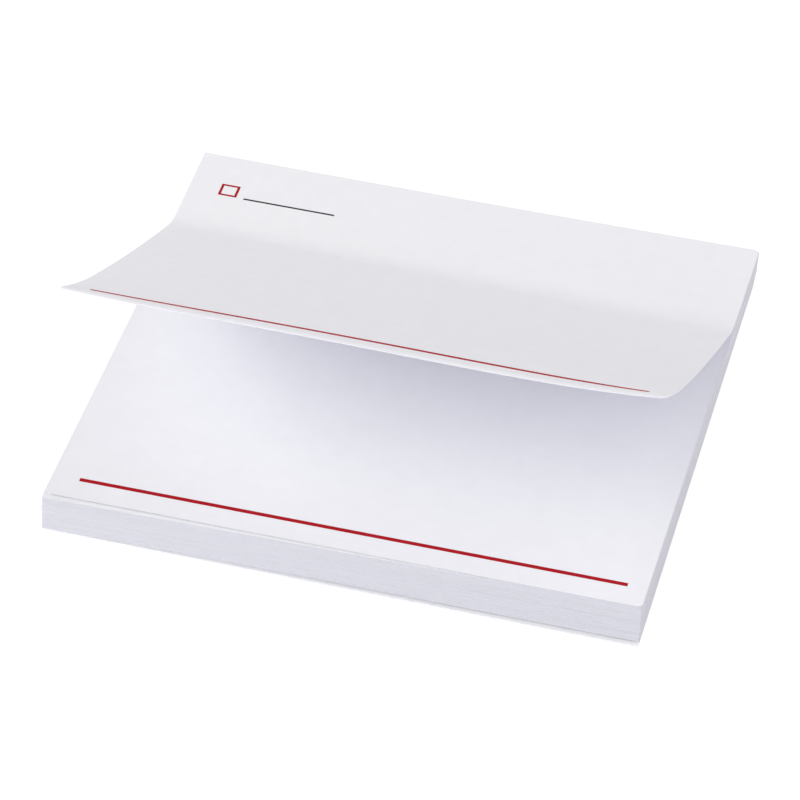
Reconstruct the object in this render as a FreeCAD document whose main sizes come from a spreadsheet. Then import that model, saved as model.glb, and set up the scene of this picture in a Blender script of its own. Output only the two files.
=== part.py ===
import FreeCAD, Part
import math
import os

import Sketcher

# A pad of square sticky notes lying on its backing sheet. The top note is stuck
# down only along its rear edge and its free part curls up off the pad.
# +Z is up and the rear, glued edge is at +Y. The origin is the centre of the
# underside of the backing sheet. Lengths are in millimetres, angles in degrees.

SIZES = {
    # The paper and the stack
    "sheet_width": 75.0,
    "sheet_depth": 75.0,
    "sheet_count": 50,
    "paper_thickness": 0.1,
    "glue_film": 0.017,
    "backing_thickness": 0.17,
    # How unevenly the sheets are stacked
    "side_jog": 0.06,
    "front_jog": 0.05,
    "side_jog_turn": 137.5,
    "front_jog_turn": 211.0,
    "stack_bow": 0.15,
    "upper_side": 0.3,
    "loose_turn": 0.55,
    "loose_forward": 0.55,
    "loose_side": -0.1,
    "loose_share": 0.5,
    # The top note: where it lies, where it leaves the pad and how it curls
    "top_side": 0.1,
    "top_forward": 0.4,
    "adhesive_depth": 13.0,
    "peel_left": 1.2,
    "peel_middle": 1.7,
    "peel_right": 2.2,
    "bend_radius": 10.0,
    "bend_left": 24.1,
    "bend_middle": 26.2,
    "bend_right": 24.3,
    "rise_left": 28.1,
    "rise_middle": 30.1,
    "rise_right": 29.9,
    "tip_length": 17.0,
    "tip_left": 32.3,
    "tip_middle": 18.1,
    "tip_right": 31.4,
    "tip_droop": 3.4,
    # The printed rule near the front edge of every note
    "rule_width": 0.55,
    "rule_front_margin": 3.33,
    "rule_left_margin": 3.5,
    "rule_right_margin": 2.4,
    "ink_thickness": 0.02,
}

SHEETS_BELOW = int(SIZES["sheet_count"]) - 1

# Where the top note's cross-sections stand, from its left edge (-1) to its right edge (1)
STATIONS = [-1, -1 / 2, 0, 1 / 2, 1]

# Places that several sub-parts share, as formulas over the spreadsheet
PITCH = "(Sizes.paper_thickness + Sizes.glue_film)"
BLOCK_HEIGHT = f"((Sizes.sheet_count - 1) * {PITCH})"
BLOCK_TOP = f"(Sizes.backing_thickness + {BLOCK_HEIGHT})"
TOP_SHEET_UNDERSIDE = f"({BLOCK_TOP} + Sizes.glue_film)"
TOP_SHEET_REAR = "(Sizes.sheet_depth / 2 - Sizes.top_forward)"
TOP_SHEET_LEFT = "(Sizes.top_side - Sizes.sheet_width / 2)"
RULE_LENGTH = "Sizes.sheet_width - Sizes.rule_left_margin - Sizes.rule_right_margin"


def make_size_sheet(doc):
    """The driving dimensions, one named cell each."""
    sizes = doc.addObject("Spreadsheet::Sheet", "Sizes")
    for row, (name, value) in enumerate(SIZES.items(), start=1):
        sizes.set(f"A{row}", name)
        sizes.set(f"B{row}", str(value))
        sizes.setAlias(f"B{row}", name)
    doc.recompute()
    return sizes


def make_box(doc, name, lengths, corner):
    """A box whose three lengths and lowest corner are formulas."""
    box = doc.addObject("Part::Box", name)
    for property_name, formula in zip(("Length", "Width", "Height"), lengths):
        box.setExpression(property_name, formula)
    for axis, formula in zip("xyz", corner):
        box.setExpression(f"Placement.Base.{axis}", formula)
    return box


def make_backing_sheet(doc):
    """The plain sheet under the pad, which keeps the last note's adhesive off the desk."""
    backing = make_box(
        doc,
        "BackingSheet",
        ("Sizes.sheet_width", "Sizes.sheet_depth", "Sizes.backing_thickness"),
        ("-Sizes.sheet_width / 2", "-Sizes.sheet_depth / 2", "0"),
    )
    backing.Label = "backing_sheet"
    return backing


def sheet_offset(index):
    """Sideways shift, forward shift and turn of one sheet of the block, counted from the bottom."""
    side = (
        f"Sizes.side_jog * sin({index} * Sizes.side_jog_turn * 1 deg)"
        f" - Sizes.stack_bow * sin(180 deg * {index} / (Sizes.sheet_count - 1))"
    )
    forward = f"Sizes.front_jog * sin({index} * Sizes.front_jog_turn * 1 deg)"
    turn = "0"
    sheets_above = SHEETS_BELOW - 1 - index
    if sheets_above == 0:
        side = "Sizes.upper_side"
        forward = "0"
    else:
        # The sheet under the uppermost one has slipped, and drags the next few a little
        share = f"Sizes.loose_share ^ {sheets_above - 1}"
        side = f"{side} + Sizes.loose_side * {share}"
        forward = f"{forward} + Sizes.loose_forward * {share}"
        turn = f"Sizes.loose_turn * {share}"
    return f"({side})", f"({forward})", f"({turn})"


def make_sheet_block(doc):
    """All the notes under the top one: a single glued stack with slightly uneven edges."""
    sheets = []
    for index in range(SHEETS_BELOW):
        side, forward, turn = sheet_offset(index)
        half_width = "Sizes.sheet_width / 2"
        half_depth = "Sizes.sheet_depth / 2"
        cosine = f"cos({turn} * 1 deg)"
        sine = f"sin({turn} * 1 deg)"
        corner = (
            f"{side} - {half_width} * {cosine} + {half_depth} * {sine}",
            f"-{forward} - {half_width} * {sine} - {half_depth} * {cosine}",
            f"Sizes.backing_thickness + {index} * {PITCH}",
        )
        lengths = ("Sizes.sheet_width", "Sizes.sheet_depth", PITCH)
        sheet = make_box(doc, f"Sheet{index + 1:02d}", lengths, corner)
        sheet.setExpression("Placement.Rotation.Angle", f"{turn} * 1 deg")
        sheets.append(sheet)
    block = doc.addObject("Part::MultiFuse", "SheetBlock")
    block.Shapes = sheets
    block.Refine = True
    block.Label = "sheet_block"
    return block


def make_adhesive_strip(doc):
    """The low-tack film along the rear of the top note's underside."""
    strip = make_box(
        doc,
        "AdhesiveStrip",
        ("Sizes.sheet_width", "Sizes.adhesive_depth", "Sizes.glue_film"),
        (TOP_SHEET_LEFT, f"{TOP_SHEET_REAR} - Sizes.adhesive_depth", BLOCK_TOP),
    )
    strip.Label = "adhesive_strip"
    return strip


def between(name, station):
    """A size that runs smoothly across the top note, from its left, middle and right values."""
    left, middle, right = (f"Sizes.{name}_{side}" for side in ("left", "middle", "right"))
    if station == 0:
        return middle
    lean = f"{station} * ({right} - {left}) / 2"
    arch = f"{station ** 2} * (({left} + {right}) / 2 - {middle})"
    return f"({middle} + {lean} + {arch})"


class CurlSection:
    """One cross-section of the curled note, as formulas and as the numbers they give.

    The note runs forward from its rear edge: flat, a tight bend, a long gentle rise
    and a tip. The slopes are the angles to the pad where each stretch ends.
    """

    def __init__(self, sizes, station):
        self.sizes = sizes
        self.rear = TOP_SHEET_REAR
        self.underside = TOP_SHEET_UNDERSIDE
        self.across = f"Sizes.top_side + {station} * Sizes.sheet_width / 2"
        self.flat = f"(Sizes.adhesive_depth + {between('peel', station)})"
        bend, rise, tip = (between(name, station) for name in ("bend", "rise", "tip"))
        if station > 0:
            # The free edge sags further between its middle and its right corner
            tip = f"({tip} - Sizes.tip_droop * {4 * station * (1 - station)})"
        self.slopes = ["0", bend, rise, tip]
        bend_length = f"Sizes.bend_radius * {bend} * pi / 180"
        rise_length = f"(Sizes.sheet_depth - {self.flat} - {bend_length} - Sizes.tip_length)"
        # A positive radius bends up, away from the pad, and a negative one back down
        self.radii = [
            "Sizes.bend_radius",
            f"({rise_length} / (({rise} - {bend}) * pi / 180))",
            f"(Sizes.tip_length / (({tip} - {rise}) * pi / 180))",
        ]

    def number(self, formula):
        """The present value of a formula over the spreadsheet."""
        value = self.sizes.evalExpression(formula.replace("Sizes.", ""))
        return float(getattr(value, "Value", value))

    def reach(self):
        """How far in front of its rear edge the note's tip lies, as a formula."""
        stretches = [self.flat]
        for radius, start, end in zip(self.radii, self.slopes, self.slopes[1:]):
            stretches.append(f"{radius} * (sin({end} * 1 deg) - sin({start} * 1 deg))")
        return "(" + " + ".join(stretches) + ")"

    def joints(self, lift):
        """Points where the stretches meet, on the line that lies lift above the underside."""
        rear = self.number(self.rear)
        underside = self.number(self.underside)
        slopes = [math.radians(self.number(slope)) for slope in self.slopes]
        across, height = rear - self.number(self.flat), underside
        path = [(across, height)]
        for radius_formula, start, end in zip(self.radii, slopes, slopes[1:]):
            radius = self.number(radius_formula)
            across -= radius * (math.sin(end) - math.sin(start))
            height += radius * (math.cos(start) - math.cos(end))
            path.append((across, height))
        lifted = [FreeCAD.Vector(rear, underside + lift, 0)]
        for (across, height), slope in zip(path, slopes):
            point = (across + lift * math.sin(slope), height + lift * math.cos(slope), 0)
            lifted.append(FreeCAD.Vector(*point))
        return lifted


# How a sketch counts an edge's start, its end and an arc's centre
START, END, CENTRE = 1, 2, 3


def add_curl_line(sketch, section, lift):
    """The flat and three arcs of one face of the note, tangent to each other, rear to front.

    Returns each stretch as its geometry number, its rear end and its front end.
    """
    joints = section.joints(lift)
    flat = sketch.addGeometry(Part.LineSegment(joints[0], joints[1]), False)
    sketch.addConstraint(Sketcher.Constraint("Horizontal", flat))
    stretches = [(flat, START, END)]
    slopes = [section.number(slope) for slope in section.slopes]
    for index, radius_formula in enumerate(section.radii):
        radius = section.number(radius_formula)
        start_slope, end_slope = slopes[index], slopes[index + 1]
        lean = math.radians(start_slope)
        normal = FreeCAD.Vector(math.sin(lean), math.cos(lean), 0)
        centre = joints[index + 1] + normal * (radius - lift)
        circle = Part.Circle(centre, FreeCAD.Vector(0, 0, 1), abs(radius - lift))
        if radius > 0:
            first, last = 270 - end_slope, 270 - start_slope
            rear_end, front_end = END, START
        else:
            first, last = 90 - start_slope, 90 - end_slope
            rear_end, front_end = START, END
        arc = Part.ArcOfCircle(circle, math.radians(first), math.radians(last))
        number = sketch.addGeometry(arc, False)
        behind, _, behind_front = stretches[-1]
        tangent = Sketcher.Constraint("Tangent", behind, behind_front, number, rear_end)
        sketch.addConstraint(tangent)
        stretches.append((number, rear_end, front_end))
    return stretches


def bind(sketch, name, formula, *constraint):
    """Adds a named dimension to a sketch and ties it to a formula."""
    index = sketch.addConstraint(Sketcher.Constraint(*constraint))
    sketch.renameConstraint(index, name)
    sketch.setExpression(f"Constraints.{name}", formula)


def make_section_sketch(body, name, section, lift_formula, thickness_formula):
    """The closed outline of a layer of the note in one upright plane, front to rear.

    The layer starts lift above the note's underside and is as thick as the second
    formula says.
    """
    plane = next(item for item in body.Origin.OriginFeatures if item.Role == "YZ_Plane")
    sketch = body.newObject("Sketcher::SketchObject", name)
    sketch.AttachmentSupport = (plane, [""])
    sketch.MapMode = "FlatFace"
    sketch.setExpression("AttachmentOffset.Base.z", section.across)

    lift = section.number(lift_formula)
    thickness = section.number(thickness_formula)
    lower = add_curl_line(sketch, section, lift)
    upper = add_curl_line(sketch, section, lift + thickness)

    lower_rear = sketch.getPoint(lower[0][0], START)
    upper_rear = sketch.getPoint(upper[0][0], START)
    rear_edge = sketch.addGeometry(Part.LineSegment(lower_rear, upper_rear), False)
    sketch.addConstraint(Sketcher.Constraint("Coincident", rear_edge, START, lower[0][0], START))
    sketch.addConstraint(Sketcher.Constraint("Coincident", rear_edge, END, upper[0][0], START))
    sketch.addConstraint(Sketcher.Constraint("Vertical", rear_edge))

    lower_tip, _, lower_front = lower[-1]
    upper_tip, _, upper_front = upper[-1]
    tip_points = sketch.getPoint(lower_tip, lower_front), sketch.getPoint(upper_tip, upper_front)
    front_edge = sketch.addGeometry(Part.LineSegment(*tip_points), False)
    sketch.addConstraint(Sketcher.Constraint("Coincident", front_edge, START, lower_tip, lower_front))
    sketch.addConstraint(Sketcher.Constraint("Coincident", front_edge, END, upper_tip, upper_front))
    sketch.addConstraint(Sketcher.Constraint("PointOnObject", lower_tip, CENTRE, front_edge))
    for (lower_arc, _, _), (upper_arc, _, _) in zip(lower[1:], upper[1:]):
        sketch.addConstraint(Sketcher.Constraint("Coincident", lower_arc, CENTRE, upper_arc, CENTRE))

    rear = section.number(section.rear)
    underside = section.number(section.underside)
    flat = section.number(section.flat)
    flat_line = lower[0][0]
    bind(sketch, "rear", section.rear, "DistanceX", -1, START, flat_line, START, rear)
    height_formula = f"{section.underside} + {lift_formula}"
    bind(sketch, "height", height_formula, "DistanceY", -1, START, flat_line, START, underside + lift)
    bind(sketch, "flat", section.flat, "DistanceX", flat_line, END, flat_line, START, flat)
    bind(sketch, "layer", thickness_formula, "Distance", rear_edge, thickness)
    names = ("bend", "rise", "tip")
    for index, (name, radius_formula) in enumerate(zip(names, section.radii)):
        arc = lower[index + 1][0]
        radius = section.number(radius_formula)
        turn_formula = f"{section.slopes[index + 1]} - {section.slopes[index]}"
        turn = math.radians(abs(section.number(turn_formula)))
        lifted_formula = f"abs({radius_formula} - {lift_formula})"
        bind(sketch, f"{name}_radius", lifted_formula, "Radius", arc, abs(radius - lift))
        bind(sketch, f"{name}_turn", f"abs({turn_formula}) * 1 deg", "Angle", arc, turn)
    return sketch


def make_curled_layer(doc, name, sizes, lift_formula, thickness_formula):
    """A thin layer of the top note, lofted through its cross-sections from left to right."""
    body = doc.addObject("PartDesign::Body", name)
    sketches = []
    for index, station in enumerate(STATIONS, start=1):
        section = CurlSection(sizes, station)
        sketch_name = f"{name}Section{index}"
        sketch = make_section_sketch(body, sketch_name, section, lift_formula, thickness_formula)
        sketches.append(sketch)
    doc.recompute()
    loft = body.newObject("PartDesign::AdditiveLoft", f"{name}Loft")
    loft.Profile = (sketches[0], [""])
    loft.Sections = [(sketch, [""]) for sketch in sketches[1:]]
    loft.Ruled = True
    for sketch in sketches:
        sketch.Visibility = False
    return body


def make_top_sheet(doc, sizes):
    """The top note, stuck down at the rear and curling up towards the front."""
    body = make_curled_layer(doc, "TopSheet", sizes, "0", "Sizes.paper_thickness")
    body.Label = "top_sheet"
    return body


def make_top_sheet_rule(doc, sizes):
    """The printed rule near the top note's free edge: a skin of ink that follows the curl."""
    layer = make_curled_layer(doc, "InkLayer", sizes, "Sizes.paper_thickness", "Sizes.ink_thickness")
    middle = CurlSection(sizes, 0)
    flattening = "cos(Sizes.tip_middle * 1 deg)"
    field = make_box(
        doc,
        "RuleField",
        (RULE_LENGTH, f"Sizes.rule_width * {flattening}", "Sizes.sheet_depth"),
        (
            f"{TOP_SHEET_LEFT} + Sizes.rule_left_margin",
            f"{TOP_SHEET_REAR} - {middle.reach()} + Sizes.rule_front_margin * {flattening}",
            BLOCK_TOP,
        ),
    )
    rule = doc.addObject("Part::Common", "TopSheetRule")
    rule.Base = layer
    rule.Tool = field
    rule.Label = "top_sheet_rule"
    return rule


def make_block_rule(doc):
    """The same printed rule on the uppermost note of the block."""
    rule = make_box(
        doc,
        "BlockRule",
        (RULE_LENGTH, "Sizes.rule_width", "Sizes.ink_thickness"),
        (
            "Sizes.upper_side - Sizes.sheet_width / 2 + Sizes.rule_left_margin",
            "Sizes.rule_front_margin - Sizes.sheet_depth / 2",
            BLOCK_TOP,
        ),
    )
    rule.Label = "block_rule"
    return rule


def check_objects(doc, parts):
    """Stops with a plain message where anything failed to build."""
    for item in doc.Objects:
        if "Invalid" in item.State or "Error" in item.State:
            raise RuntimeError(f"{item.Name} failed to build: {item.State}")
    for part in parts:
        if part.Shape.isNull() or not part.Shape.isValid():
            raise RuntimeError(f"{part.Label} has no valid shape")


def main():
    doc = FreeCAD.newDocument("StickyNotePad")
    sizes = make_size_sheet(doc)
    parts = [
        make_backing_sheet(doc),
        make_sheet_block(doc),
        make_adhesive_strip(doc),
        make_top_sheet(doc, sizes),
        make_top_sheet_rule(doc, sizes),
        make_block_rule(doc),
    ]
    doc.recompute()
    check_objects(doc, parts)
    os.makedirs("parts", exist_ok=True)
    for part in parts:
        part.Shape.exportStep(f"parts/{part.Label}.step")
        box = part.Shape.BoundBox
        print(
            f"{part.Label}: {len(part.Shape.Solids)} solid, {part.Shape.Volume:.2f} mm3,"
            f" X {box.XMin:.2f} to {box.XMax:.2f}, Y {box.YMin:.2f} to {box.YMax:.2f},"
            f" Z {box.ZMin:.3f} to {box.ZMax:.3f}"
        )


main()
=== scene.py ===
import math
import random

import bpy
from mathutils import Matrix, Vector


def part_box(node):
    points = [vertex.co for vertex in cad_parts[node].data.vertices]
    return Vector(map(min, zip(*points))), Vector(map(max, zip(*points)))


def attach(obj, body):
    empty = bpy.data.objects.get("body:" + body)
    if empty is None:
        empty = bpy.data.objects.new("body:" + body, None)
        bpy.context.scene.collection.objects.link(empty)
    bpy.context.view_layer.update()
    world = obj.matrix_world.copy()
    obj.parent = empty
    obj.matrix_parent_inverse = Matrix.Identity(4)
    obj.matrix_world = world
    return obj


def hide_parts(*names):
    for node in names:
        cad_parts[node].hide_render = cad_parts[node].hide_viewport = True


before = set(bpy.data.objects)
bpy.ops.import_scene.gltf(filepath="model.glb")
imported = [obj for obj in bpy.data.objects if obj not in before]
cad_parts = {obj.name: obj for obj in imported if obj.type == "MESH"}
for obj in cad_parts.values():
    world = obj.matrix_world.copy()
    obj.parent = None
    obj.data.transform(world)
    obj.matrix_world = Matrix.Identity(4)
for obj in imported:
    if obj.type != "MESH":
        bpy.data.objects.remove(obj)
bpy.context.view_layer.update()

# A square sticky note pad: 49 white notes in a glued block on a backing sheet, and a
# top note that is stuck down at the rear and curls up towards the front.
# Sizes are in millimetres and become metres where a mesh, lamp or camera is made.

MM = 0.001


def corners_mm(node):
    """Lowest and highest corner of a node of the solid model, in millimetres."""
    lowest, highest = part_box(node)
    return [value / MM for value in lowest], [value / MM for value in highest]


# The stack
NOTE_SIDE = 75.0
NOTE_THICKNESS = 0.1
FILM_THICKNESS = 0.017
PITCH = NOTE_THICKNESS + FILM_THICKNESS
BACKING_TOP = corners_mm("backing_sheet")[1][2]
BLOCK_TOP = corners_mm("sheet_block")[1][2]
BLOCK_NOTES = round((BLOCK_TOP - BACKING_TOP) / PITCH)
FILM_DEPTH = 13.0
FILM_INSET = 0.35
CUT_CORNER = 0.012
STACK_CORNER = 0.15
UPPERMOST_CORNER = 0.65
BACKING_CORNER = 0.1
CORNER_SEGMENTS = 5

# How upright a flat face's normal is at least, and the angle past which an edge stays sharp
FLAT_FACE_NORMAL = 0.9
SMOOTH_ANGLE = math.radians(30)

# Which way each corner of a sheet lies from its middle, as (right, rearward)
CORNERS = {"front_left": (-1, -1), "front_right": (1, -1), "rear_right": (1, 1), "rear_left": (-1, 1)}

# How far the corners of a sheet lie from its nominal square, as (right, rearward): the
# backing sheet, the lowest note, the top of the stack, and the uppermost note by itself
BACKING_SHIFT = {
    "front_left": (-0.38, -0.08),
    "front_right": (0.29, -0.70),
    "rear_right": (-0.34, 0.0),
    "rear_left": (0.0, 0.0),
}
BOTTOM_SHIFT = {
    "front_left": (-0.36, 0.04),
    "front_right": (0.27, -0.12),
    "rear_right": (-0.30, 0.0),
    "rear_left": (0.0, 0.0),
}
TOP_SHIFT = {
    "front_left": (-0.12, -0.78),
    "front_right": (0.20, -0.04),
    "rear_right": (0.08, -0.03),
    "rear_left": (0.9, -0.5),
}
UPPERMOST_SHIFT = {
    "front_left": (0.27, -0.03),
    "front_right": (0.24, -0.14),
    "rear_right": (0.08, 0.0),
    "rear_left": (0.9, -0.5),
}

# How far back the lowest notes start, how far the stack has sunk at its top, and how far
# its corners bow to the right halfway up
LOWEST_NOTES = 2
LOWEST_SET_BACK = {"front_left": 0.0, "front_right": 0.48, "rear_right": 0.0, "rear_left": 0.0}
SETTLE = {"front_left": 0.12, "front_right": 0.0, "rear_right": 0.0, "rear_left": 0.0}
BOW = {"front_left": -0.01, "front_right": 0.0, "rear_right": 0.08, "rear_left": -0.05}

# How unevenly the notes lie: each by itself, and at the front right in small groups
SIDE_JOG = 0.045
FRONT_JOG = 0.028
TURN_JOG = 0.02
FAN_JOG = 0.07
FAN_NOTES = 4
FAN_SEED = 700

# The curl of the top note. Each list gives a polynomial across the note, from -1 at its
# left edge to 1 at its right edge; lengths run forward from its rear edge.
TOP_NOTE_SHIFT = (0.086, -0.447)
CREASE_START = [14.556, 0.609]
CREASE_LENGTH = 4.548
CREASE_TURN = [0.4492, 0.0074, -0.0137]
RISE_TURN_PER_MM = [0.00134, 0.00006, 0.00011]
TIP_START = 58.0
TIP_TURN = [-0.0513, -0.0699, 0.0403, 0.0593, 0.0985]
DROOP_LENGTH = 0.8
EDGE_DROOP = -0.55
CURL_STEP = 0.25
TOP_NOTE_UNDERSIDE = BLOCK_TOP + FILM_THICKNESS
TOP_NOTE_COLUMNS = 80
TOP_NOTE_ROWS = 180
TOP_FILM_COLUMNS = 40
TOP_FILM_ROWS = 6
TOP_NOTE_CORNERS = {"front_left": 0.1, "front_right": 0.8, "rear_right": 0.9, "rear_left": 0.1}
REAR_TRIM = [0.05, 0.215, 0.215]
REAR_TRIM_REACH = 14.0
EDGE_CROWDING = 0.9

# The print on the notes: on the top note and on the uppermost note of the block
INK_THICKNESS = 0.012
INK_SINK = 0.004
BLOCK_RULE = {"width": 0.64, "length": 69.2, "middle": (0.60, -33.95), "turn": -0.0017}
TOP_RULE = {"width": 1.0, "left": -34.65, "right": 34.70, "forward": 71.42}
RULE_COLUMNS = 56
TOP_RULE_ROWS = 4
BLOCK_RULE_ROWS = 2
TICK_BOX = {"left": -33.4, "forward": 6.1, "side": 2.5, "line": 0.34}
TITLE_LINE = {"left": -29.9, "right": -17.6, "forward": 8.45, "line": 0.3}


# Small helpers for modelling and materials

def clear_selection():
    bpy.ops.object.select_all(action="DESELECT")


def make_active(piece):
    clear_selection()
    piece.select_set(True)
    bpy.context.view_layer.objects.active = piece


def apply_modifier(piece, kind, **settings):
    """Adds a modifier, sets it up and makes it part of the mesh."""
    make_active(piece)
    modifier = piece.modifiers.new(kind.title(), kind)
    for name, value in settings.items():
        setattr(modifier, name, value)
    bpy.ops.object.modifier_apply(modifier=modifier.name)


def add_field(name, left, right, rear, front, columns=1, rows=1):
    """A flat field in millimetres: left and right of the middle line, forward of the rear edge."""
    clear_selection()
    bpy.ops.mesh.primitive_grid_add(x_subdivisions=columns, y_subdivisions=rows, size=MM)
    field = bpy.context.active_object
    field.name = name
    field.data.name = name
    bpy.ops.transform.resize(value=(right - left, front - rear, 1))
    bpy.ops.transform.translate(value=((left + right) / 2 * MM, -(rear + front) / 2 * MM, 0))
    bpy.ops.object.transform_apply(location=True, rotation=True, scale=True)
    return field


def add_note_field(name):
    """A flat field of a note's size, centred on the origin."""
    half = NOTE_SIDE / 2
    return add_field(name, -half, half, -half, half)


def thicken(piece, thickness):
    """Gives a flat piece its thickness, upwards."""
    apply_modifier(piece, "SOLIDIFY", thickness=thickness * MM, offset=1.0)


def soften_cut_edges(piece):
    apply_modifier(piece, "BEVEL", width=CUT_CORNER * MM, segments=1, limit_method="ANGLE")


def smooth(piece):
    """Shades a piece smoothly, apart from its sharp edges."""
    make_active(piece)
    bpy.ops.object.shade_smooth_by_angle(angle=SMOOTH_ANGLE)


def join(pieces, name):
    make_active(pieces[0])
    for piece in pieces:
        piece.select_set(True)
    bpy.ops.object.join()
    joined = bpy.context.active_object
    joined.name = name
    joined.data.name = name
    return joined


def polynomial(coefficients, value):
    return sum(factor * value ** power for power, factor in enumerate(coefficients))


# Materials

def new_material(name):
    material = bpy.data.materials.new(name)
    material.use_nodes = True
    nodes = material.node_tree.nodes
    return material, nodes, material.node_tree.links, nodes["Principled BSDF"]


def add_noise(nodes, links, scale, stretch=(1, 1, 1), detail=2.0, roughness=0.5):
    """A noise pattern in the piece's own space, in cycles per metre."""
    place = nodes.new("ShaderNodeTexCoord")
    mapping = nodes.new("ShaderNodeMapping")
    mapping.inputs["Scale"].default_value = stretch
    noise = nodes.new("ShaderNodeTexNoise")
    noise.inputs["Scale"].default_value = scale
    noise.inputs["Detail"].default_value = detail
    noise.inputs["Roughness"].default_value = roughness
    links.new(place.outputs["Object"], mapping.inputs["Vector"])
    links.new(mapping.outputs["Vector"], noise.inputs["Vector"])
    return noise


# Where in a pattern's range its two colours are reached
RAMP_LOW = 0.3
RAMP_HIGH = 0.7


def add_colour_range(nodes, links, factor, dark, light):
    """A ramp between two colours, driven by a pattern."""
    ramp = nodes.new("ShaderNodeValToRGB")
    ramp.color_ramp.elements[0].position = RAMP_LOW
    ramp.color_ramp.elements[0].color = (*dark, 1)
    ramp.color_ramp.elements[1].position = RAMP_HIGH
    ramp.color_ramp.elements[1].color = (*light, 1)
    links.new(factor, ramp.inputs["Fac"])
    return ramp


def add_bump(nodes, links, height, shader, distance, strength):
    bump = nodes.new("ShaderNodeBump")
    bump.inputs["Distance"].default_value = distance
    bump.inputs["Strength"].default_value = strength
    links.new(height, bump.inputs["Height"])
    links.new(bump.outputs["Normal"], shader.inputs["Normal"])


def tint(colour, factor):
    return tuple(channel * factor for channel in colour)


WHITE_PAPER = (0.873, 0.873, 0.889)
# The cut edges are the same paper as the faces, in a darker copy of its colour: painted shade for the
# sides of the block.
SHADED_EDGE_PAPER = (0.742, 0.742, 0.752)
RELEASE_DARK = (0.90, 0.90, 0.90)
RELEASE_LIGHT = (0.93, 0.93, 0.93)
ADHESIVE_DARK = (0.80, 0.81, 0.79)
ADHESIVE_LIGHT = (0.86, 0.87, 0.85)
RULE_RED = (0.40, 0.006, 0.013)
HEADER_BLACK = (0.022, 0.022, 0.024)


def make_paper(name, colour):
    """Uncoated white paper: a faint cloudy formation and a fine fibre tooth."""
    material, nodes, links, shader = new_material(name)
    clouds = add_noise(nodes, links, scale=420, detail=4.0, roughness=0.6)
    dark, light = tint(colour, 0.985), tint(colour, 1.008)
    ramp = add_colour_range(nodes, links, clouds.outputs["Fac"], dark, light)
    links.new(ramp.outputs["Color"], shader.inputs["Base Color"])
    fibres = add_noise(nodes, links, scale=9000, detail=5.0, roughness=0.7)
    add_bump(nodes, links, fibres.outputs["Fac"], shader, distance=0.00001, strength=0.25)
    shader.inputs["Roughness"].default_value = 0.92
    shader.inputs["Specular IOR Level"].default_value = 0.2
    return material


def make_cut_edge(name, colour):
    """The guillotined edges of the block, in a darker copy of the paper colour that paints in the shade
    of its sides: fine streaks along the sheets and faint blade marks.
    """
    material, nodes, links, shader = new_material(name)
    along_sheets = (0.02, 0.02, 5.0)
    down_block = (1.0, 1.0, 0.05)
    layers = add_noise(nodes, links, scale=1000, stretch=along_sheets, detail=3.0, roughness=0.6)
    dark, light = tint(colour, 0.955), tint(colour, 1.01)
    ramp = add_colour_range(nodes, links, layers.outputs["Fac"], dark, light)
    links.new(ramp.outputs["Color"], shader.inputs["Base Color"])
    marks = add_noise(nodes, links, scale=1400, stretch=down_block, detail=3.0, roughness=0.6)
    add_bump(nodes, links, marks.outputs["Fac"], shader, distance=0.00002, strength=0.3)
    shader.inputs["Roughness"].default_value = 0.95
    shader.inputs["Specular IOR Level"].default_value = 0.15
    return material


def make_backing_paper(name):
    """Smooth release paper with a faint sheen."""
    material, nodes, links, shader = new_material(name)
    mottle = add_noise(nodes, links, scale=260, detail=3.0)
    ramp = add_colour_range(nodes, links, mottle.outputs["Fac"], RELEASE_DARK, RELEASE_LIGHT)
    links.new(ramp.outputs["Color"], shader.inputs["Base Color"])
    tooth = add_noise(nodes, links, scale=5000, detail=3.0)
    add_bump(nodes, links, tooth.outputs["Fac"], shader, distance=0.000006, strength=0.2)
    shader.inputs["Roughness"].default_value = 0.55
    shader.inputs["Specular IOR Level"].default_value = 0.4
    return material


def make_adhesive(name):
    """Low-tack adhesive: a thin, slightly glossy film with a fine grain of beads."""
    material, nodes, links, shader = new_material(name)
    beads = add_noise(nodes, links, scale=12000, detail=2.0)
    ramp = add_colour_range(nodes, links, beads.outputs["Fac"], ADHESIVE_DARK, ADHESIVE_LIGHT)
    links.new(ramp.outputs["Color"], shader.inputs["Base Color"])
    add_bump(nodes, links, beads.outputs["Fac"], shader, distance=0.00001, strength=0.5)
    shader.inputs["Roughness"].default_value = 0.35
    return material


def make_ink(name, colour):
    """Matt printing ink, a little thinner where the paper's fibres stand up."""
    material, nodes, links, shader = new_material(name)
    coverage = add_noise(nodes, links, scale=6000, detail=4.0, roughness=0.7)
    dark, light = tint(colour, 0.9), tint(colour, 1.15)
    ramp = add_colour_range(nodes, links, coverage.outputs["Fac"], dark, light)
    links.new(ramp.outputs["Color"], shader.inputs["Base Color"])
    add_bump(nodes, links, coverage.outputs["Fac"], shader, distance=0.000008, strength=0.2)
    shader.inputs["Roughness"].default_value = 0.75
    shader.inputs["Specular IOR Level"].default_value = 0.12
    return material


PAPER = make_paper("white_note_paper", WHITE_PAPER)
SHADED_CUT_EDGE = make_cut_edge("cut_note_edges_painted_shade", SHADED_EDGE_PAPER)
BACKING_PAPER = make_backing_paper("release_paper")
ADHESIVE = make_adhesive("low_tack_adhesive")
RED_INK = make_ink("red_rule_ink", RULE_RED)
DARK_INK = make_ink("dark_header_ink", HEADER_BLACK)


# The block of notes

def mix(first, second, share):
    return tuple(a + (b - a) * share for a, b in zip(first, second))


def between_corners(corners, right, rearward):
    """The point that lies these shares of the way from left to right and from front to rear."""
    front = mix(corners["front_left"], corners["front_right"], right)
    rear = mix(corners["rear_left"], corners["rear_right"], right)
    return mix(front, rear, rearward)


def sheet_corners(shift, underside):
    """The corners of a sheet as (x, y, z), each moved by its own shift."""
    corners = {}
    for corner, (right, rearward) in CORNERS.items():
        side, back = shift[corner]
        half = NOTE_SIDE / 2
        corners[corner] = (right * half + side, rearward * half + back, underside[corner])
    return corners


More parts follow.
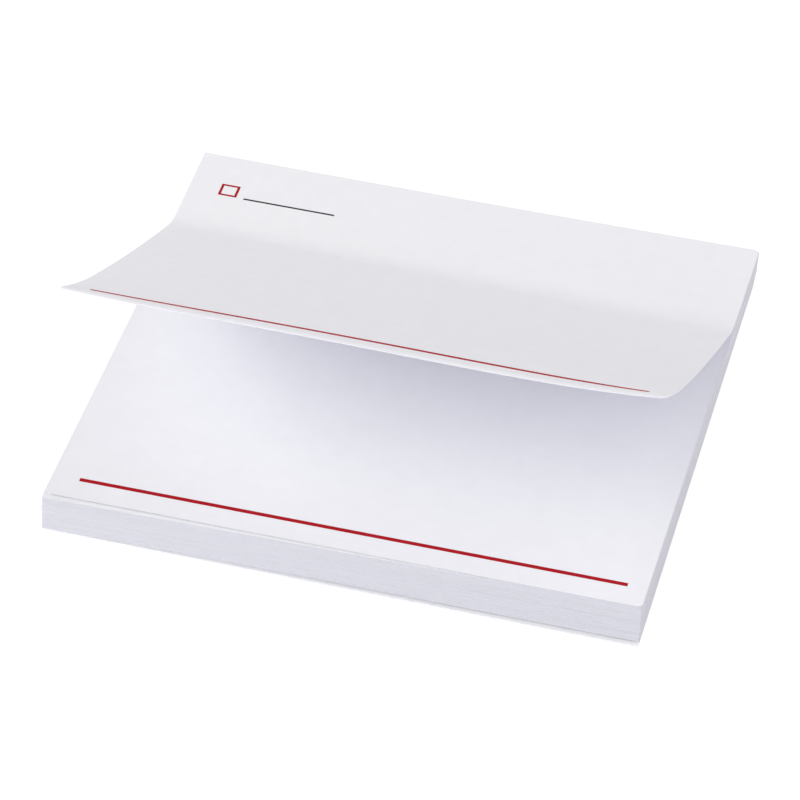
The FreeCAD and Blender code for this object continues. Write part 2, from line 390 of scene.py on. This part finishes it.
def note_corners(index):
    """The four corners of one note of the block, counted from the bottom."""
    height = index / (BLOCK_NOTES - 1)
    jog = random.Random(index)
    side_jog, front_jog, turn_jog = (jog.uniform(-1, 1) for _ in range(3))
    fan_jog = random.Random(FAN_SEED + index // FAN_NOTES).uniform(-1, 1)
    level = BACKING_TOP + index * PITCH + FILM_THICKNESS
    uppermost = index == BLOCK_NOTES - 1
    shift, underside = {}, {}
    for corner, (right, rearward) in CORNERS.items():
        side, back = mix(BOTTOM_SHIFT[corner], TOP_SHIFT[corner], height)
        side += SIDE_JOG * side_jog - TURN_JOG * turn_jog * rearward
        side += BOW[corner] * math.sin(math.pi * height)
        back += FRONT_JOG * front_jog + TURN_JOG * turn_jog * right
        if corner == "front_right":
            back += FAN_JOG * fan_jog
        if index < LOWEST_NOTES:
            back += LOWEST_SET_BACK[corner] / (index + 1)
        shift[corner] = UPPERMOST_SHIFT[corner] if uppermost else (side, back)
        underside[corner] = level if uppermost else level - SETTLE[corner] * height
    return sheet_corners(shift, underside)


def film_corners(corners):
    """The adhesive band under a note's rear edge, between its corners."""
    inset = FILM_INSET / NOTE_SIDE
    reach = FILM_DEPTH / NOTE_SIDE
    band = {
        "front_left": (inset, 1 - reach),
        "front_right": (1 - inset, 1 - reach),
        "rear_right": (1 - inset, 1 - inset),
        "rear_left": (inset, 1 - inset),
    }
    places = {}
    for corner, shares in band.items():
        x, y, z = between_corners(corners, *shares)
        places[corner] = (x, y, z - FILM_THICKNESS)
    return places


def give_faces(piece, face_material, edge_material):
    """One material on the faces of a sheet and another on its cut edges."""
    piece.data.materials.append(face_material)
    piece.data.materials.append(edge_material)
    for face in piece.data.polygons:
        face.material_index = 0 if abs(face.normal.z) > FLAT_FACE_NORMAL else 1


def make_sheet_blank(name, thickness, corner, face_material, edge_material):
    """A square sheet with slightly rounded corners and softly cut edges."""
    blank = add_note_field(name)
    bpy.ops.object.mode_set(mode="EDIT")
    bpy.ops.mesh.select_all(action="SELECT")
    bpy.ops.mesh.bevel(offset=corner * MM, segments=CORNER_SEGMENTS, affect="VERTICES")
    bpy.ops.object.mode_set(mode="OBJECT")
    thicken(blank, thickness)
    soften_cut_edges(blank)
    give_faces(blank, face_material, edge_material)
    smooth(blank)
    return blank


def make_film_blank(name):
    """The adhesive between one note and whatever it lies on."""
    blank = add_note_field(name)
    thicken(blank, FILM_THICKNESS)
    blank.data.materials.append(ADHESIVE)
    return blank


def lay_sheet(blank, name, corners):
    """A copy of a blank, spread between four corners of its underside."""
    sheet = blank.copy()
    sheet.data = blank.data.copy()
    sheet.name = name
    sheet.data.name = name
    bpy.context.collection.objects.link(sheet)
    for vertex in sheet.data.vertices:
        right = vertex.co.x / MM / NOTE_SIDE + 0.5
        rearward = vertex.co.y / MM / NOTE_SIDE + 0.5
        x, y, z = between_corners(corners, right, rearward)
        vertex.co = (x * MM, y * MM, z * MM + vertex.co.z)
    return sheet


def make_backing():
    """The release sheet under the last note."""
    blank = make_sheet_blank("backing_blank", BACKING_TOP, BACKING_CORNER, BACKING_PAPER, BACKING_PAPER)
    flat = {corner: 0.0 for corner in CORNERS}
    backing = lay_sheet(blank, "release_backing", sheet_corners(BACKING_SHIFT, flat))
    bpy.data.objects.remove(blank)
    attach(backing, "root")
    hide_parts("backing_sheet")


def make_block():
    """All the notes under the curled one, and the adhesive that holds them."""
    note_blank = make_sheet_blank("note_blank", NOTE_THICKNESS, STACK_CORNER, PAPER, SHADED_CUT_EDGE)
    rounder_blank = make_sheet_blank("rounder_blank", NOTE_THICKNESS, UPPERMOST_CORNER, PAPER, SHADED_CUT_EDGE)
    film_blank = make_film_blank("film_blank")
    notes, films = [], []
    for index in range(BLOCK_NOTES):
        corners = note_corners(index)
        blank = note_blank if index < BLOCK_NOTES - 1 else rounder_blank
        notes.append(lay_sheet(blank, f"note_{index + 1:02d}", corners))
        films.append(lay_sheet(film_blank, f"film_{index + 1:02d}", film_corners(corners)))
    for blank in (note_blank, rounder_blank, film_blank):
        bpy.data.objects.remove(blank)
    slipped, uppermost = notes[-2:]
    slipped.name = "slipped_note"
    uppermost.name = "uppermost_block_note"
    stack = join(notes[:-2], "note_stack")
    glue = join(films, "stack_adhesive")
    for piece in (stack, glue, slipped, uppermost):
        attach(piece, "root")
        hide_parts("sheet_block")


# The curled top note

def curl_slope(forward, across):
    """Angle of the top note to the pad, in radians."""
    past_crease = forward - polynomial(CREASE_START, across)
    slope = min(max(past_crease / CREASE_LENGTH, 0), 1) * polynomial(CREASE_TURN, across)
    slope += max(past_crease - CREASE_LENGTH, 0) * polynomial(RISE_TURN_PER_MM, across)
    tip = max(forward - TIP_START, 0) / (NOTE_SIDE - TIP_START)
    droop = max(forward - NOTE_SIDE + DROOP_LENGTH, 0) / DROOP_LENGTH
    return slope + tip * polynomial(TIP_TURN, across) + droop * EDGE_DROOP


def curl_line(across, stations):
    """Points of the note's underside at growing distances from its rear edge.

    Each is how far forward it lies, how high, and the slope there.
    """
    points = []
    reached, forward, height = 0.0, 0.0, 0.0
    for station in stations:
        steps = max(1, math.ceil((station - reached) / CURL_STEP))
        step = (station - reached) / steps
        for number in range(steps):
            slope = curl_slope(reached + (number + 0.5) * step, across)
            forward += step * math.cos(slope)
            height += step * math.sin(slope)
        reached = station
        points.append((forward, height, curl_slope(station, across)))
    return points


def bend_to_curl(piece):
    """Bends a piece that is flat, with y = 0 at the rear edge and z = 0 on the underside."""
    columns = {}
    for vertex in piece.data.vertices:
        columns.setdefault(round(vertex.co.x / MM, 4), []).append(vertex)
    rear_edge = Vector((*TOP_NOTE_SHIFT, TOP_NOTE_UNDERSIDE)) + Vector((0, NOTE_SIDE / 2, 0))
    for x, vertices in columns.items():
        vertices.sort(key=lambda vertex: -vertex.co.y)
        stations = [-vertex.co.y / MM for vertex in vertices]
        line = curl_line(x / (NOTE_SIDE / 2), stations)
        for vertex, (forward, height, slope) in zip(vertices, line):
            lift = vertex.co.z / MM
            y = -forward + lift * math.sin(slope)
            z = height + lift * math.cos(slope)
            vertex.co = (rear_edge + Vector((x, y, z))) * MM


def crowd_edges(share):
    """Moves a share of the side towards the nearer edge, where the mesh has to be finest."""
    return share - EDGE_CROWDING * math.sin(2 * math.pi * share) / (2 * math.pi)


def round_corner(x, y):
    """Draws a point near a corner of the note in, so that the corner is round."""
    corner = ("rear" if y > 0 else "front") + ("_right" if x > 0 else "_left")
    straight = NOTE_SIDE / 2 - TOP_NOTE_CORNERS[corner]
    past_x = max(abs(x) - straight, 0)
    past_y = max(abs(y) - straight, 0)
    if not past_x or not past_y:
        return x, y
    pull = max(past_x, past_y) / math.hypot(past_x, past_y)
    x = math.copysign(straight + past_x * pull, x)
    y = math.copysign(straight + past_y * pull, y)
    return x, y


def make_top_note():
    """The top note: a thin sheet, flat where it is stuck and curled where it is free."""
    side = NOTE_SIDE
    note = add_field("top_note", -side / 2, side / 2, 0, side, TOP_NOTE_COLUMNS, TOP_NOTE_ROWS)
    for vertex in note.data.vertices:
        x = (crowd_edges(vertex.co.x / MM / side + 0.5) - 0.5) * side
        y = (crowd_edges(vertex.co.y / MM / side + 1.0) - 0.5) * side
        x, y = round_corner(x, y)
        forward = side / 2 - y
        trim = polynomial(REAR_TRIM, x / (side / 2)) * max(1 - forward / REAR_TRIM_REACH, 0)
        vertex.co = (x * MM, (trim - forward) * MM, 0)
    thicken(note, NOTE_THICKNESS)
    soften_cut_edges(note)
    bend_to_curl(note)
    note.data.materials.append(PAPER)
    smooth(note)
    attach(note, "root")
    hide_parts("top_sheet")


def make_top_adhesive():
    """The adhesive band under the top note's rear edge."""
    half = NOTE_SIDE / 2 - FILM_INSET
    columns, rows = TOP_FILM_COLUMNS, TOP_FILM_ROWS
    band = add_field("top_note_adhesive", -half, half, FILM_INSET, FILM_DEPTH, columns, rows)
    thicken(band, FILM_THICKNESS)
    for vertex in band.data.vertices:
        vertex.co.z -= FILM_THICKNESS * MM
    bend_to_curl(band)
    band.data.materials.append(ADHESIVE)
    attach(band, "root")
    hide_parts("adhesive_strip")


def print_on_top_note(field, ink):
    """Turns a flat field into a skin of ink on the top note's upper face."""
    thicken(field, INK_THICKNESS)
    for vertex in field.data.vertices:
        vertex.co.z += (NOTE_THICKNESS - INK_SINK) * MM
    bend_to_curl(field)
    field.data.materials.append(ink)
    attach(field, "root")


def make_top_rule():
    """The red rule near the free edge of the top note."""
    left, right = TOP_RULE["left"], TOP_RULE["right"]
    rear = TOP_RULE["forward"] - TOP_RULE["width"] / 2
    front = rear + TOP_RULE["width"]
    rule = add_field("top_note_rule", left, right, rear, front, RULE_COLUMNS, TOP_RULE_ROWS)
    print_on_top_note(rule, RED_INK)
    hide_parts("top_sheet_rule")


def make_header():
    """A small tick box and a title line, printed at the head of the top note."""
    left, rear, side = (TICK_BOX[name] for name in ("left", "forward", "side"))
    tick_box = add_field("header_tick_box", left, left + side, rear, rear + side)
    bpy.ops.object.mode_set(mode="EDIT")
    bpy.ops.mesh.select_all(action="SELECT")
    bpy.ops.mesh.inset(thickness=TICK_BOX["line"] * MM)
    bpy.ops.mesh.delete(type="FACE")
    bpy.ops.object.mode_set(mode="OBJECT")
    print_on_top_note(tick_box, RED_INK)
    start, end, rear = (TITLE_LINE[name] for name in ("left", "right", "forward"))
    title_line = add_field("header_title_line", start, end, rear, rear + TITLE_LINE["line"])
    print_on_top_note(title_line, DARK_INK)


def make_block_rule():
    """The same red rule on the uppermost note of the block."""
    half_length = BLOCK_RULE["length"] / 2
    half_width = BLOCK_RULE["width"] / 2
    rule = add_field(
        "block_note_rule", -half_length, half_length, -half_width, half_width,
        RULE_COLUMNS, BLOCK_RULE_ROWS,
    )
    thicken(rule, INK_THICKNESS)
    rule.location = Vector((*BLOCK_RULE["middle"], BLOCK_TOP - INK_SINK)) * MM
    rule.rotation_euler.z = BLOCK_RULE["turn"]
    make_active(rule)
    bpy.ops.object.transform_apply(location=True, rotation=True, scale=True)
    rule.data.materials.append(RED_INK)
    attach(rule, "root")
    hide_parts("block_rule")


# The studio

FLOOR_SIDE = 6000.0
FLOOR_GAP = 0.02
FLOOR_SHOWN = 0.88
FLOOR_SHADED = 0.22
FLOOR_COLOUR = (0.82, 0.82, 0.83)
WHITE = (1, 1, 1, 1)


def make_floor():
    """A pale floor that shows white and keeps the pad's soft shadow."""
    clear_selection()
    bpy.ops.mesh.primitive_plane_add(size=FLOOR_SIDE * MM, location=(0, 0, -FLOOR_GAP * MM))
    floor = bpy.context.active_object
    floor.name = "studio_floor"
    material = bpy.data.materials.new("white_floor")
    material.use_nodes = True
    nodes, links = material.node_tree.nodes, material.node_tree.links
    nodes.clear()
    output = nodes.new("ShaderNodeOutputMaterial")
    ray = nodes.new("ShaderNodeLightPath")
    seen = nodes.new("ShaderNodeMath")
    seen.operation = "MAXIMUM"
    seen_through = nodes.new("ShaderNodeMath")
    seen_through.operation = "MAXIMUM"
    links.new(ray.outputs["Is Camera Ray"], seen.inputs[0])
    links.new(ray.outputs["Is Glossy Ray"], seen.inputs[1])
    links.new(seen.outputs["Value"], seen_through.inputs[0])
    links.new(ray.outputs["Is Transmission Ray"], seen_through.inputs[1])
    surface = nodes.new("ShaderNodeBsdfDiffuse")
    surface.inputs["Color"].default_value = (*FLOOR_COLOUR, 1)
    glow = nodes.new("ShaderNodeEmission")
    glow.inputs["Color"].default_value = WHITE
    glow.inputs["Strength"].default_value = FLOOR_SHOWN
    shadowed = nodes.new("ShaderNodeBsdfDiffuse")
    shadowed.inputs["Color"].default_value = (FLOOR_SHADED, FLOOR_SHADED, FLOOR_SHADED, 1)
    shown = nodes.new("ShaderNodeAddShader")
    links.new(glow.outputs["Emission"], shown.inputs[0])
    links.new(shadowed.outputs["BSDF"], shown.inputs[1])
    mix_shader = nodes.new("ShaderNodeMixShader")
    links.new(seen_through.outputs["Value"], mix_shader.inputs["Fac"])
    links.new(surface.outputs["BSDF"], mix_shader.inputs[1])
    links.new(shown.outputs["Shader"], mix_shader.inputs[2])
    links.new(mix_shader.outputs["Shader"], output.inputs["Surface"])
    floor.data.materials.append(material)


WORLD_COLOUR = (0.979, 0.97, 1.0)
WORLD_STRENGTH = 0.352


def make_world():
    """A weak room light, shown to the camera as plain white."""
    world = bpy.data.worlds.new("studio_world")
    bpy.context.scene.world = world
    world.use_nodes = True
    nodes, links = world.node_tree.nodes, world.node_tree.links
    nodes.clear()
    output = nodes.new("ShaderNodeOutputWorld")
    ray = nodes.new("ShaderNodeLightPath")
    room = nodes.new("ShaderNodeBackground")
    room.inputs["Color"].default_value = (*WORLD_COLOUR, 1)
    room.inputs["Strength"].default_value = WORLD_STRENGTH
    white = nodes.new("ShaderNodeBackground")
    white.inputs["Color"].default_value = WHITE
    white.inputs["Strength"].default_value = 1.0
    mix_shader = nodes.new("ShaderNodeMixShader")
    links.new(ray.outputs["Is Camera Ray"], mix_shader.inputs["Fac"])
    links.new(room.outputs["Background"], mix_shader.inputs[1])
    links.new(white.outputs["Background"], mix_shader.inputs[2])
    links.new(mix_shader.outputs["Shader"], output.inputs["Surface"])


SOFTBOX_SIDE = 1500.0


def add_softbox(name, place, power, colour):
    """A square lamp that faces the pad."""
    light = bpy.data.lights.new(name, "AREA")
    light.size = SOFTBOX_SIDE * MM
    light.energy = power
    light.color = colour
    lamp = bpy.data.objects.new(name, light)
    lamp.location = Vector(place) * MM
    lamp.rotation_euler = lamp.location.to_track_quat("Z", "Y").to_euler()
    bpy.context.collection.objects.link(lamp)


# Each lamp's place in millimetres, power in watts and colour
SOFTBOXES = {
    "left_key": ((-1700, -300, 600), 28.3, (1.0, 0.996, 0.99)),
    "front_left_fill": ((-1100, -1100, 1200), 10.8, (1.0, 0.99, 0.79)),
    "front_window": ((100, -1700, 550), 12.7, (0.66, 0.68, 1.0)),
    "right_fill": ((1700, 0, 400), 11.6, (0.959, 0.946, 1.0)),
    "rear_right_fill": ((1100, 1100, 1100), 7.6, (0.972, 0.969, 1.0)),
    "rear_fill": ((0, 1700, 500), 5.0, (0.814, 0.788, 1.0)),
}


# The camera stands where the photograph was taken from

CAMERA_TURN = math.radians(11.7524)
CAMERA_HEIGHT = math.radians(38.0818)
CAMERA_ROLL = math.radians(3.2827)
CAMERA_DISTANCE = 747.10
CAMERA_TARGET = (-1.4833, 0.5114, 0.0)
CAMERA_LENS = 263.683
SENSOR_WIDTH = 36.0
NEAREST_SHOWN = 50.0
FURTHEST_SHOWN = 20000.0


def make_camera():
    camera_data = bpy.data.cameras.new("photo_camera")
    camera_data.sensor_width = SENSOR_WIDTH
    camera_data.lens = CAMERA_LENS
    camera_data.clip_start = NEAREST_SHOWN * MM
    camera_data.clip_end = FURTHEST_SHOWN * MM
    camera = bpy.data.objects.new("photo_camera", camera_data)
    bpy.context.collection.objects.link(camera)
    back = Vector((
        math.sin(CAMERA_TURN) * math.cos(CAMERA_HEIGHT),
        -math.cos(CAMERA_TURN) * math.cos(CAMERA_HEIGHT),
        math.sin(CAMERA_HEIGHT),
    ))
    level = Vector((0, 0, 1)).cross(back).normalized()
    upward = back.cross(level)
    right = level * math.cos(CAMERA_ROLL) + upward * math.sin(CAMERA_ROLL)
    above = back.cross(right)
    place = (Vector(CAMERA_TARGET) + back * CAMERA_DISTANCE) * MM
    turn = Matrix((right, above, back)).transposed().to_4x4()
    camera.matrix_world = Matrix.Translation(place) @ turn
    bpy.context.scene.camera = camera


make_backing()
make_block()
make_block_rule()
make_top_adhesive()
make_top_note()
make_top_rule()
make_header()
make_floor()
make_world()
for lamp_name, lamp_settings in SOFTBOXES.items():
    add_softbox(lamp_name, *lamp_settings)
make_camera()
bpy.context.scene.view_settings.view_transform = "Standard"
